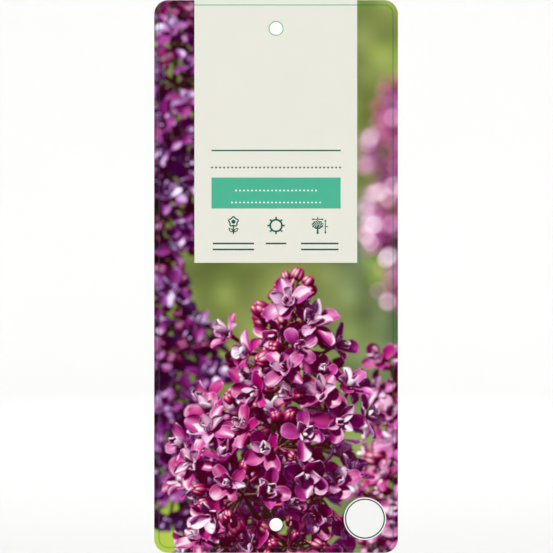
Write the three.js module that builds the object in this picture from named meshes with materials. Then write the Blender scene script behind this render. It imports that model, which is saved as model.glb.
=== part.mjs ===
// Plant label: one die-cut upright card with rounded corners and two punched holes on its
// centre line. Millimetres, +Z up, printed face towards -Y, back face towards +Y.
// The origin is the centre of the upper hanging hole, half way through the card.
//
// The card is one flat sheet. It is built as simple blocks that meet face to face: the long
// middle field, and at each end a small block around the hole with a corner block either side.

import * as THREE from "three";

// Driving dimensions
const CARD_WIDTH = 94.4;
const CARD_HEIGHT = 214.0;
const CARD_THICKNESS = 0.5;
const CORNER_RADIUS = 5.5;
const HOLE_RADIUS = 2.5;
const HOLE_INSET = 11.0; // hole centre to the nearest short edge
const END_BLOCK = 22.0; // height of the end blocks and width of the one around each hole
const CORNER_STEPS = 16; // straight facets per quarter-round corner
const HOLE_STEPS = 64; // straight facets per punched hole

const TOP_EDGE = HOLE_INSET;
const BOTTOM_EDGE = HOLE_INSET - CARD_HEIGHT;
const LOWER_HOLE = BOTTOM_EDGE + HOLE_INSET;
const TOP_SEAM = TOP_EDGE - END_BLOCK;
const BOTTOM_SEAM = BOTTOM_EDGE + END_BLOCK;
const HALF_WIDTH = CARD_WIDTH / 2;
const HALF_BLOCK = END_BLOCK / 2;

// A quarter turn of a rounded corner, as points counter-clockwise about its centre.
function roundCorner(centreX, centreZ, startAngle) {
  const points = [];
  for (let i = 0; i <= CORNER_STEPS; i++) {
    const angle = startAngle + ((Math.PI / 2) * i) / CORNER_STEPS;
    points.push(
      new THREE.Vector2(
        centreX + CORNER_RADIUS * Math.cos(angle),
        centreZ + CORNER_RADIUS * Math.sin(angle),
      ),
    );
  }
  return points;
}

// A block of the card between two sides and two heights, counter-clockwise, with a round corner
// only where it is a corner of the card itself.
function blockOutline(left, right, low, high) {
  const corner = (x, z, startAngle) => {
    const atSide = Math.abs(x) === HALF_WIDTH;
    const atEnd = z === TOP_EDGE || z === BOTTOM_EDGE;
    if (!atSide || !atEnd) return [new THREE.Vector2(x, z)];
    return roundCorner(
      x - Math.sign(x) * CORNER_RADIUS,
      z === TOP_EDGE ? z - CORNER_RADIUS : z + CORNER_RADIUS,
      startAngle,
    );
  };
  return new THREE.Shape([
    ...corner(right, low, -Math.PI / 2),
    ...corner(right, high, 0),
    ...corner(left, high, Math.PI / 2),
    ...corner(left, low, Math.PI),
  ]);
}

// A punched hole, clockwise, so that it cuts the outline.
function punchedHole(centreZ) {
  const points = [];
  for (let i = 0; i < HOLE_STEPS; i++) {
    const angle = (-2 * Math.PI * i) / HOLE_STEPS;
    points.push(
      new THREE.Vector2(
        HOLE_RADIUS * Math.cos(angle),
        centreZ + HOLE_RADIUS * Math.sin(angle),
      ),
    );
  }
  return new THREE.Path(points);
}

// A block of stiff plastic sheet: its outline with its hole, given the card's thickness and
// stood up.
function block(name, left, right, low, high, holeCentre) {
  const outline = blockOutline(left, right, low, high);
  if (holeCentre !== undefined) outline.holes.push(punchedHole(holeCentre));
  const solid = new THREE.ExtrudeGeometry(outline, {
    depth: CARD_THICKNESS,
    bevelEnabled: false,
    steps: 1,
  });
  solid.translate(0, 0, -CARD_THICKNESS / 2);
  solid.rotateX(Math.PI / 2);
  const mesh = new THREE.Mesh(
    solid,
    new THREE.MeshStandardMaterial({
      color: 0xe9eade,
      roughness: 0.42,
      metalness: 0.0,
    }),
  );
  mesh.name = name;
  return mesh;
}

const label = new THREE.Group();
label.add(
  block("field", -HALF_WIDTH, HALF_WIDTH, BOTTOM_SEAM, TOP_SEAM),
  block("top_left", -HALF_WIDTH, -HALF_BLOCK, TOP_SEAM, TOP_EDGE),
  block("top_hole", -HALF_BLOCK, HALF_BLOCK, TOP_SEAM, TOP_EDGE, 0),
  block("top_right", HALF_BLOCK, HALF_WIDTH, TOP_SEAM, TOP_EDGE),
  block("bottom_left", -HALF_WIDTH, -HALF_BLOCK, BOTTOM_EDGE, BOTTOM_SEAM),
  block("bottom_hole", -HALF_BLOCK, HALF_BLOCK, BOTTOM_EDGE, BOTTOM_SEAM, LOWER_HOLE),
  block("bottom_right", HALF_BLOCK, HALF_WIDTH, BOTTOM_EDGE, BOTTOM_SEAM),
);

export default label;
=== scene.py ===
"""A plant label: a flat plastic card with two punched holes, a printed lilac picture, a pale panel
with blank write-in rules, a care band, three pictograms and a thin border line."""

import math
import time

import bpy
import numpy as np
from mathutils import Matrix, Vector
from mathutils.bvhtree import BVHTree
from mathutils.geometry import tessellate_polygon


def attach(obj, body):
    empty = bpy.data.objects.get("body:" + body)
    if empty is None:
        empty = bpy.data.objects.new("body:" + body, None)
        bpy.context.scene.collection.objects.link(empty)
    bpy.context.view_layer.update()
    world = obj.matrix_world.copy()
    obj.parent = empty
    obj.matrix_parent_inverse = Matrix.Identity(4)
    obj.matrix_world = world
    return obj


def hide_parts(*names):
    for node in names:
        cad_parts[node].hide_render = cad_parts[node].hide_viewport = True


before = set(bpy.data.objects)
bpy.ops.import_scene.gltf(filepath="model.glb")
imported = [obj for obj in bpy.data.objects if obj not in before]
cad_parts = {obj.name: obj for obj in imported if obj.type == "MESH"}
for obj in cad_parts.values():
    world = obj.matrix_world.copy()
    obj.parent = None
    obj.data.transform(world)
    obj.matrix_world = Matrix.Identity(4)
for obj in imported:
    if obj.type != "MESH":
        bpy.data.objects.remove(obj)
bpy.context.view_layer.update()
began = time.time()

# ---------------------------------------------------------------- print generator (mm)

SUN = np.array([-0.46, -0.66, 0.66])
SUN = SUN / np.linalg.norm(SUN)


def unit(v):
    return v / np.maximum(np.linalg.norm(v, axis=-1, keepdims=True), 1e-9)


def smooth(a, b, x):
    t = np.clip((x - a) / (b - a), 0, 1)
    return t * t * (3 - 2 * t)


class Bag:
    """Triangles with vertex normals and six numbers a vertex: u, v, kind, tone, hue, deep."""

    def __init__(self):
        self.p, self.n, self.a, self.t, self.count = [], [], [], [], 0

    def add(self, p, n, a, t):
        self.p.append(p.reshape(-1, 3))
        self.n.append(n.reshape(-1, 3))
        self.a.append(a.reshape(-1, 6))
        self.t.append(t.reshape(-1, 3) + self.count)
        self.count += self.p[-1].shape[0]

    def close(self):
        self.P = np.concatenate(self.p)
        self.N = unit(np.concatenate(self.n))
        self.A = np.concatenate(self.a)
        self.T = np.concatenate(self.t)
        self.tree = BVHTree.FromPolygons(
            self.P.tolist(), self.T.tolist(), all_triangles=True
        )
        return self


def grid_faces(nu, nv, wrap=False):
    i = np.arange(nu - 1)[:, None]
    j = np.arange(nv if wrap else nv - 1)[None, :]
    k = (j + 1) % nv if wrap else j + 1
    a, b, c, d = i * nv + j, i * nv + k, (i + 1) * nv + k, (i + 1) * nv + j
    return np.concatenate(
        [np.stack([a, b, c], -1).reshape(-1, 3), np.stack([a, c, d], -1).reshape(-1, 3)]
    )


def grid_normals(p):
    """p is (k, nu, nv, 3). The normal follows the grid's own winding."""
    du = np.gradient(p, axis=1)
    dv = np.gradient(p, axis=2)
    return unit(np.cross(dv, du))


def frames(axis, spin):
    """Rotation matrices whose third column is axis."""
    axis = unit(axis)
    ref = np.where(np.abs(axis[:, 2:3]) > 0.9, [[1.0, 0, 0]], [[0.0, 0, 1.0]])
    x = unit(np.cross(ref, axis))
    y = np.cross(axis, x)
    c, s = np.cos(spin)[:, None], np.sin(spin)[:, None]
    return np.stack([c * x + s * y, -s * x + c * y, axis], -1)


def petals(bag, centre, rot, par, nu, nv, deep):
    """Many petals at once. par has one row a petal: length, width, azimuth, angle at the base, angle at
    the tip, cupping, hood, twist, ripple phase, start radius, start height, tone, hue."""
    L, W, az, tb, tt, cup, hood, twist, ph, r0, h0, tone, hue = [
        par[:, i][:, None, None] for i in range(13)
    ]
    u = np.sin(np.linspace(0, np.pi / 2, nu))[None, :, None] ** 0.9  # closer together at the tip
    v = np.linspace(-1, 1, nv)[None, None, :]
    phi = tb + (tt - tb) * u**1.15
    sp, cp = np.sin(phi), np.cos(phi)
    mid = lambda q: np.concatenate(
        [np.zeros_like(q[:, :1]), np.cumsum((q[:, 1:] + q[:, :-1]) / 2 * np.diff(u, axis=1), axis=1)], 1
    )
    r, h = r0 + mid(sp) * L, h0 + mid(cp) * L
    half = W / 2 * (0.17 + 0.83 * np.sin(np.pi * np.clip(u, 0, 1) ** 1.55) ** 0.50)
    half = half * np.where(u >= 0.999, 0.42, 1.0)
    k = np.clip(cup + hood * u**2, 0.05, 2.6)
    lat = half * np.sin(k * v) / k
    lift = half * (1 - np.cos(k * v)) / k
    lift = lift + 0.035 * L * np.sin(2.6 * np.pi * u + ph) * np.abs(v) ** 1.5
    lift = lift - 0.02 * L * np.exp(-((v / 0.22) ** 2)) * np.sin(np.pi * u)
    tw = twist * u
    lat, lift = lat * np.cos(tw) - lift * np.sin(tw), lat * np.sin(tw) + lift * np.cos(tw)
    er = np.stack([np.cos(az), np.sin(az), 0 * az], -1)
    et = np.stack([-np.sin(az), np.cos(az), 0 * az], -1)
    ez = np.array([0.0, 0, 1])
    nor = -cp[..., None] * er + sp[..., None] * ez
    p = r[..., None] * er + h[..., None] * ez + lat[..., None] * et + lift[..., None] * nor
    n = grid_normals(p)
    p = np.einsum("kij,kabj->kabi", rot, p) + centre[:, None, None, :]
    n = np.einsum("kij,kabj->kabi", rot, n)
    one = np.ones_like(p[..., 0])
    a = np.stack([one * u, one * v, one * 0, one * tone, one * hue, one * deep], -1)
    f = grid_faces(nu, nv)
    count = p.shape[0]
    t = f[None] + (np.arange(count) * nu * nv)[:, None, None]
    bag.add(p, n, a, t)


def tube(bag, path, radius, kind, sides, hue, tone=0.0):
    path = np.asarray(path, float)
    radius = np.broadcast_to(np.asarray(radius, float), (len(path),))
    tan = unit(np.gradient(path, axis=0))
    ref = np.array([0.0, 1.0, 0.0]) if abs(tan[0, 1]) < 0.8 else np.array([1.0, 0, 0])
    x = unit(np.cross(tan, ref))
    y = np.cross(tan, x)
    ang = np.linspace(0, 2 * np.pi, sides, endpoint=False)
    n = x[:, None] * np.cos(ang)[None, :, None] + y[:, None] * np.sin(ang)[None, :, None]
    p = path[:, None] + n * radius[:, None, None]
    one = np.ones(p.shape[:2])
    a = np.stack(
        [one * np.linspace(0, 1, len(path))[:, None], one * 0, one * kind, one * tone, one * hue, one * 0],
        -1,
    )
    bag.add(p, n, a, grid_faces(len(path), sides, wrap=True))


def tubes(bag, start, end, ra, rb, kind, hue, tone, sides=6):
    """Many straight tapered tubes at once."""
    d = unit(end - start)
    rot = frames(d, np.zeros(len(d)))
    ang = np.linspace(0, 2 * np.pi, sides, endpoint=False)
    ring = rot[:, None, :, 0] * np.cos(ang)[None, :, None] + rot[:, None, :, 1] * np.sin(ang)[None, :, None]
    s = np.array([0, 0.12, 0.5, 0.85, 1.0])
    c = start[:, None] * (1 - s)[None, :, None] + end[:, None] * s[None, :, None]
    shape = np.array([1.25, 1.1, 0.9, 0.95, 1.0])
    rr = (ra[:, None] * (1 - s) + rb[:, None] * s) * shape
    p = c[:, :, None] + ring[:, None] * rr[:, :, None, None]
    n = np.broadcast_to(ring[:, None], p.shape)
    one = np.ones(p.shape[:3])
    a = np.stack(
        [
            one * s[None, :, None],
            one * 0,
            one * kind,
            one * tone[:, None, None],
            one * hue[:, None, None],
            one * 0,
        ],
        -1,
    )
    f = grid_faces(len(s), sides, wrap=True)
    t = f[None] + (np.arange(len(start)) * len(s) * sides)[:, None, None]
    bag.add(p, n.copy(), a, t)


def lobes(bag, centre, rot, size, offset, tone, hue, nu=9, nv=10, kind=1):
    """Many ellipsoids at once, each in its own frame: the closed petals of buds."""
    th = np.linspace(0.001, np.pi - 0.001, nu)[:, None]
    ph = np.linspace(0, 2 * np.pi, nv, endpoint=False)[None, :]
    s = np.stack([np.sin(th) * np.cos(ph), np.sin(th) * np.sin(ph), np.cos(th) + 0 * ph], -1)
    p = s[None] * size[:, None, None, :]
    n = unit(s[None] / size[:, None, None, :])
    p = p + offset[:, None, None, :]
    p = np.einsum("kij,kabj->kabi", rot, p) + centre[:, None, None, :]
    n = np.einsum("kij,kabj->kabi", rot, n)
    one = np.ones(p.shape[:3])
    a = np.stack(
        [
            one * (np.cos(th) * 0.5 + 0.5)[None],
            one * ((ph / np.pi) - 1)[None],
            one * kind,
            one * tone[:, None, None],
            one * hue[:, None, None],
            one * 0,
        ],
        -1,
    )
    f = grid_faces(nu, nv, wrap=True)
    t = f[None] + (np.arange(len(p)) * nu * nv)[:, None, None]
    bag.add(p, n, a, t)


def florets(bag, rng, centre, axis, openness, scale, hue, fine):
    """Double florets: two whorls of four petals and a small middle one."""
    k = len(centre)
    spin = rng.uniform(0, 2 * np.pi, k)
    rot = frames(axis, spin)
    age = np.sin(spin * 37.0)  # older florets are paler
    rows, who = [], []
    for whorl, count in ((0, 4), (1, 4), (2, 3)):
        for j in range(count):
            m = rng.uniform(size=k) > (0.0, 0.04, 0.25)[whorl]
            o = openness
            jit = lambda s: rng.normal(0, s, k)
            if whorl == 0:
                L = scale * (7.7 + jit(0.5))
                W = scale * (5.2 + jit(0.40))
                az = j * np.pi / 2 + jit(0.12)
                tb = 0.45 + 0.85 * o + jit(0.12)
                tt = 0.30 + 1.60 * o + jit(0.34)
                cup, hood = 0.55 + jit(0.20), 0.45 + jit(0.34)
                r0, h0 = 0.55, 0.0
                tone = 0.14 + 0.10 * o + 0.15 * age + jit(0.09)
            elif whorl == 1:
                L = scale * (6.1 + jit(0.6))
                W = scale * (4.7 + jit(0.4))
                az = np.pi / 4 + j * np.pi / 2 + jit(0.18)
                tb = 0.30 + 0.62 * o + jit(0.14)
                tt = -0.45 + 1.40 * o + jit(0.58)
                cup, hood = 0.95 + jit(0.25), 0.85 + jit(0.40)
                r0, h0 = 0.42, 0.5
                tone = 0.85 + 0.12 * age + jit(0.10)
            else:
                L = scale * (4.3 + jit(0.5))
                W = scale * (3.4 + jit(0.3))
                az = j * 2 * np.pi / 3 + jit(0.5)
                tb = 0.10 + 0.3 * o + jit(0.15)
                tt = -0.7 + 1.4 * o + jit(0.5)
                cup, hood = 1.0 + jit(0.3), 0.9 + jit(0.4)
                r0, h0 = 0.3, 0.9
                tone = 1.04 + 0.08 * age + jit(0.08)
            row = np.stack(
                [
                    L,
                    W,
                    az,
                    tb,
                    tt,
                    cup,
                    hood,
                    jit(0.22),
                    rng.uniform(0, 6.28, k),
                    np.full(k, r0) * scale,
                    np.full(k, h0) * scale,
                    tone,
                    hue + jit(0.05),
                ],
                1,
            )
            rows.append(row[m])
            who.append(np.arange(k)[m])
    par, who = np.concatenate(rows), np.concatenate(who)
    nu, nv = (11, 9) if fine else (5, 5)
    petals(bag, centre[who], rot[who], par, nu, nv, 0.0)
    # the slender corolla tube behind the petals
    back = centre - unit(axis) * (scale * 7.5)[:, None]
    tubes(bag, back, centre + unit(axis) * 0.35, scale * 0.55, scale * 0.85, 1, hue, np.full(k, 0.05), 6)
    return back


def buds(bag, rng, centre, axis, size, hue, fine):
    """Plump closed buds: rounded segments pressed together round a lower middle."""
    k = len(centre)
    rot = frames(axis, rng.uniform(0, 2 * np.pi, k))
    cs, rs, sz, off, tone, hu = [], [], [], [], [], []
    count = np.where(rng.uniform(size=k) < 0.4, 5, 4)
    for j in range(6):
        m = (j < count) | (j == 5)
        ang = j * 2 * np.pi / count + rng.normal(0, 0.12, k)
        tilt = np.radians(11 + rng.normal(0, 4, k)) * (j < 5)
        er = np.stack([np.cos(ang), np.sin(ang), 0 * ang], 1)
        et = np.stack([-np.sin(ang), np.cos(ang), 0 * ang], 1)
        ez = np.array([0.0, 0, 1.0])
        ct, st = np.cos(tilt)[:, None], np.sin(tilt)[:, None]
        own = np.stack([er * ct + ez * st, et, ez * ct - er * st], -1)
        rad = size * (0.47 + rng.normal(0, 0.025, k)) * (j < 5)
        wide = size * (0.52 + rng.normal(0, 0.03, k)) * np.where(count == 5, 0.90, 1.0)
        tall = size * (0.86 + rng.normal(0, 0.06, k))
        cs.append(centre[m])
        rs.append(np.einsum("kij,kjl->kil", rot, own)[m])
        sz.append(np.stack([wide * 0.98, wide * 1.02, tall], 1)[m])
        lift = size * rng.normal(0.0, 0.06, k) - size * 0.16 * (j == 5)
        shift = er * rad[:, None] + ez * lift[:, None]
        off.append(np.einsum("kji,kj->ki", own, shift)[m])
        tone.append((0.06 + rng.normal(0, 0.05, k) - 0.10 * (j == 5))[m])
        hu.append((hue + rng.normal(0, 0.04, k))[m])
    nu, nv = (11, 13) if fine else (7, 9)
    lobes(
        bag,
        np.concatenate(cs),
        np.concatenate(rs),
        np.concatenate(sz),
        np.concatenate(off),
        np.concatenate(tone),
        np.concatenate(hu),
        nu,
        nv,
    )
    back = centre - unit(axis) * (size * 1.2 + 4.0)[:, None]
    tubes(bag, back, centre - unit(axis) * (size * 0.5)[:, None], size * 0.20, size * 0.44, 1, hue, np.full(k, 0.0), 6)
    return back


def rotate_about(v, axis, angle):
    axis = axis / np.linalg.norm(axis)
    return (
        v * math.cos(angle)
        + np.cross(axis, v) * math.sin(angle)
        + axis * np.dot(axis, v) * (1 - math.cos(angle))
    )


def sphere_points(rng, n):
    i = np.arange(n) + 0.5
    ph, th = np.arccos(1 - 2 * i / n), np.pi * (1 + 5**0.5) * i
    d = np.stack([np.cos(th) * np.sin(ph), np.sin(th) * np.sin(ph), np.cos(ph)], 1)
    q, r = np.linalg.qr(rng.normal(size=(3, 3)))
    return d @ (q * np.sign(np.diag(r)))


def truss(bag, rng, base, tip, bend, reach, levels, bud_share, hue, fine, size=1.0, stem=1.7, spread=10.4, plump=1.0, taper=2.2, gaps=(), foot=0.80, turn=0.0):
    """A lilac truss: a main stem, side branches in crossed pairs, and at the end of each a rounded
    cluster of florets and buds that all face outwards."""
    base, tip = np.array(base, float), np.array(tip, float)
    axis = tip - base
    length = np.linalg.norm(axis)
    axis /= length
    s = np.linspace(0, 1, 28)
    side = unit(np.cross(axis, [0.0, 1.0, 0.0]))
    line = base + axis * (s * length)[:, None] + side * (bend * np.sin(np.pi * s * 0.9))[:, None]
    tube(bag, line, stem * (1.05 - 0.65 * s), 2, 9, hue, 0.0)
    point = lambda q: np.array([np.interp(q, s, line[:, i]) for i in range(3)])
    cx = unit(np.cross(axis, [0.0, 1.0, 0.0]))
    clusters = []
    roll = rng.uniform(-0.35, 0.35)
    for level in range(levels):
        f = (level + 0.5) / levels
        q = 0.12 + 0.80 * f
        grow = (1 - f**taper) * (foot + (1 - foot) * smooth(0.0, 0.42, f))
        for k in range(4):
            if (level, k) in gaps:
                continue
            a = roll + (level % 2) * np.pi / 4 + k * np.pi / 2 + rng.normal(0, 0.16)
            out = rotate_about(cx, axis, a)
            lean = np.radians(66 - 26 * f + rng.normal(0, 5))
            d = out * math.sin(lean) + axis * math.cos(lean)
            far = reach * (0.16 + 0.84 * grow) * (1 + rng.normal(0, 0.10))
            r = size * plump * (7.2 + 6.8 * grow) * (1 + rng.normal(0, 0.07))
            start = point(q)
            c = start + d * max(far - r * 0.62, 2.0)
            ts = np.linspace(0, 1, 7)
            sag = np.array([0, 0, -0.07 * far])
            tube(bag, start + (c - start) * ts[:, None] + sag * (ts * (1 - ts))[:, None], 0.82 * size * (1.15 - 0.45 * ts), 2, 6, hue, 0.35)
            share = bud_share * (0.20 if rng.uniform() < 0.6 else 1.6) + 0.30 * smooth(0.70, 1.0, f)
            clusters.append((c, r, d, share, f))
    top = point(0.965)
    clusters.append((top, size * 6.5, axis, min(1.0, bud_share + 0.5), 1.0))
    spots = []
    for c, r, d, share, f in clusters:
        for v in sphere_points(rng, int(90 * (r / (size * 12)) ** 2) + 14):
            if np.dot(v, d) < -0.45:
                continue
            rr = r * (0.93 + 0.14 * rng.uniform())
            spots.append((c + v * rr * np.array([1, 1, 0.95]), v, c, rng.uniform() < share, c[1] + v[1] * r + rng.normal(0, 2.2)))
    spots.sort(key=lambda o: o[4])
    cells = {}

    def near(c, need):
        key = tuple((c // 12).astype(int))
        for dx in (-1, 0, 1):
            for dy in (-1, 0, 1):
                for dz in (-1, 0, 1):
                    for o, w in cells.get((key[0] + dx, key[1] + dy, key[2] + dz), ()):
                        if np.linalg.norm(c - o) < (need + w) / 2:
                            return True
        cells.setdefault(key, []).append((c, need))
        return False

    out_f, out_b = [], []
    for c, v, o, bud, _ in spots:
        if bud:
            big = rng.uniform() < 0.42
            rad = size * (rng.uniform(2.7, 3.4) if big else rng.uniform(1.9, 2.6))
            if not near(c, rad * 1.85):
                out_b.append((c, v, o, rad))
        elif not near(c, size * spread):
            out_f.append((c, v, o, 0))
    for c, v, o, bud, _ in spots:  # small buds in what room is left
        rad = size * rng.uniform(1.6, 2.3)
        if rng.uniform() < 0.10 and not near(c, rad * 2.3 + size * 1.6):
            out_b.append((c + v * size * 0.4, v, o, rad))
    if out_f:
        c = np.array([o[0] for o in out_f])
        k = len(c)
        d = unit(np.array([o[1] for o in out_f]) + np.array([-0.22, -0.62, 0.24]) + rng.normal(0, 0.16, (k, 3)))
        openness = np.clip(rng.beta(3.6, 1.5, k), 0.15, 1.0)
        tints = hue + rng.normal(0, 0.34, k) + turn * (c[:, 0] - tip[0])
        florets(bag, rng, c, d, openness, size * (1.02 + rng.normal(0, 0.08, k)), tints, fine)
        inner = np.array([o[2] for o in out_f])
        tubes(bag, inner, c - d * 7.0 * size, np.full(k, 0.45 * size), np.full(k, 0.5 * size), 2, np.full(k, hue), np.full(k, 0.6), 5)
    if out_b:
        c = np.array([o[0] for o in out_b])
        k = len(c)
        d = unit(np.array([o[1] for o in out_b]) + rng.normal(0, 0.2, (k, 3)))
        back = buds(bag, rng, c, d, np.array([o[3] for o in out_b]), hue + rng.normal(0, 0.3, k), fine)
        inner = np.array([o[2] for o in out_b])
        tubes(bag, inner, back, np.full(k, 0.40 * size), np.full(k, 0.45 * size), 2, np.full(k, hue), np.full(k, 0.6), 5)
    return len(out_f), len(out_b)


def leaf(bag, base, tip, width, normal_tilt, fold, hue, n=14):
    """A heart-shaped leaf."""
    base, tip = np.array(base, float), np.array(tip, float)
    ax = tip - base
    L = np.linalg.norm(ax)
    ax = ax / L
    nor = unit(np.array(normal_tilt, float))
    sd = unit(np.cross(ax, nor))
    nor = np.cross(sd, ax)
    u = np.linspace(0, 1, n)[:, None]
    v = np.linspace(-1, 1, 11)[None, :]
    half = width / 2 * np.clip(np.sin(np.pi * np.clip(u * 0.93 + 0.07, 0, 1) ** 0.62), 0, 1) ** 0.85
    back = -0.10 * L * (1 - u) ** 3 * np.abs(v) ** 1.2
    p = (
        base
        + ax * (u * L + back)[..., None]
        + sd * (half * v)[..., None]
        + nor * (fold * half * np.abs(v) - 0.16 * L * u**2 + 0.03 * L * np.sin(7 * u) * np.abs(v))[..., None]
    )
    n_ = grid_normals(p[None])[0]
    one = np.ones(p.shape[:2])
    a = np.stack([one * u, one * v, one * 3, one * 0.5, one * hue, one * 0], -1)
    bag.add(p, n_, a, grid_faces(p.shape[0], p.shape[1]))


def petal_colour(A, front, P):
    """Reflectance of each sample from its place on the flower."""
    u, v, kind, tone, hue = A[:, 0], A[:, 1], np.round(A[:, 2]), A[:, 3], A[:, 4]
    deep = np.array([0.21, 0.010, 0.082])
    magenta = np.array([0.40, 0.026, 0.195])
    mauve = np.array([0.31, 0.080, 0.36])
    lilac = np.array([0.60, 0.235, 0.545])
    white = np.array([0.93, 0.82, 0.91])
    mix = lambda a, b, t: a + (b - a) * t[:, None]
    cool = np.clip(0.5 + hue * 1.1, 0, 1)
    body = mix(magenta[None], mauve[None], cool)
    pale = smooth(0.05, 0.75, u) * (0.72 + 0.28 * smooth(0.1, 0.8, np.abs(v)))
    col = mix(body, lilac[None], np.clip(tone * 1.1 - 0.16, 0, 1) * (0.35 + 0.65 * pale))
    col = mix(col, white[None], np.clip(tone - 0.60, 0, 1) * 1.8 * pale)
    edge = np.maximum(np.abs(v), smooth(0.72, 1.0, u) * 1.02)
    rim = smooth(0.76, 0.96, edge)
    col = mix(col, (lilac * 0.36 + white * 0.64)[None], rim * 0.80)
    veins = 0.5 + 0.5 * np.cos(v * 15.0 + 1.2 * np.sin(u * 3.0))
    col = col * (1 - 0.13 * veins * smooth(0.1, 0.35, u) * (1 - smooth(0.8, 1.0, u)))[:, None]
    throat = 1 - smooth(0.02, 0.30, u)
    col = mix(col, (magenta * 0.7)[None], throat * 0.50)
    back = mix((deep * 1.25)[None], magenta[None] * 1.15, np.clip(tone * 1.2 + 0.12, 0, 1))
    back = mix(back, (mauve * 0.95)[None], cool * 0.35)
    back = mix(back, lilac[None], np.maximum(rim * 0.42, np.clip(tone - 0.50, 0, 1) * 2.0 * (0.25 + 0.75 * pale)))
    back = mix(back, white[None], np.clip(tone - 0.68, 0, 1) * 1.5 * pale)
    col = np.where(front[:, None], col, back)
    bud = mix((deep * 0.92)[None], np.array([[0.32, 0.016, 0.088]]), np.clip(0.08 + u * 0.75 + tone, 0, 1))
    col = np.where((kind == 1)[:, None], bud, col)
    stem = mix(np.array([[0.085, 0.075, 0.028]]), np.array([[0.105, 0.030, 0.040]]), np.clip(tone, 0, 1))
    grain = 0.75 + 0.5 * (np.sin(P[:, 2] * 3.1 + 2 * np.sin(P[:, 0] * 4.0)) * 0.5 + 0.5)
    col = np.where((kind == 2)[:, None], stem * grain[:, None], col)
    green = mix(np.array([[0.10, 0.19, 0.028]]), np.array([[0.30, 0.40, 0.05]]), np.clip(hue + 0.5, 0, 1))
    col = np.where((kind == 3)[:, None], green, col)
    return col, kind


def gather(bag, O, D, far):
    """Casts rays and returns what each one met."""
    cast = bag.tree.ray_cast
    tri = np.full(len(O), -1, np.int64)
    dist = np.zeros(len(O))
    for i, (o, d) in enumerate(zip(O.tolist(), D.tolist())):
        r = cast(o, d, far)
        if r[2] is not None:
            tri[i] = r[2]
            dist[i] = r[3]
    return tri, dist


def blocked(bag, O, D, far):
    cast = bag.tree.ray_cast
    return np.array([cast(o, d, far)[2] is not None for o, d in zip(O.tolist(), D.tolist())], bool)


def vertex_shade(bag, rng, rays, far):
    """How much of the sky each vertex sees on the side towards the viewer."""
    side = np.where(bag.N[:, 1:2] < 0, 1.0, -1.0)
    n = bag.N * side
    total = np.zeros(len(n))
    for _ in range(rays):
        d = unit(n * 1.02 + unit(rng.normal(size=n.shape)))
        hit = blocked(bag, bag.P + n * 0.06, d, far)
        total += ~hit
    return total / rays


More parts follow.
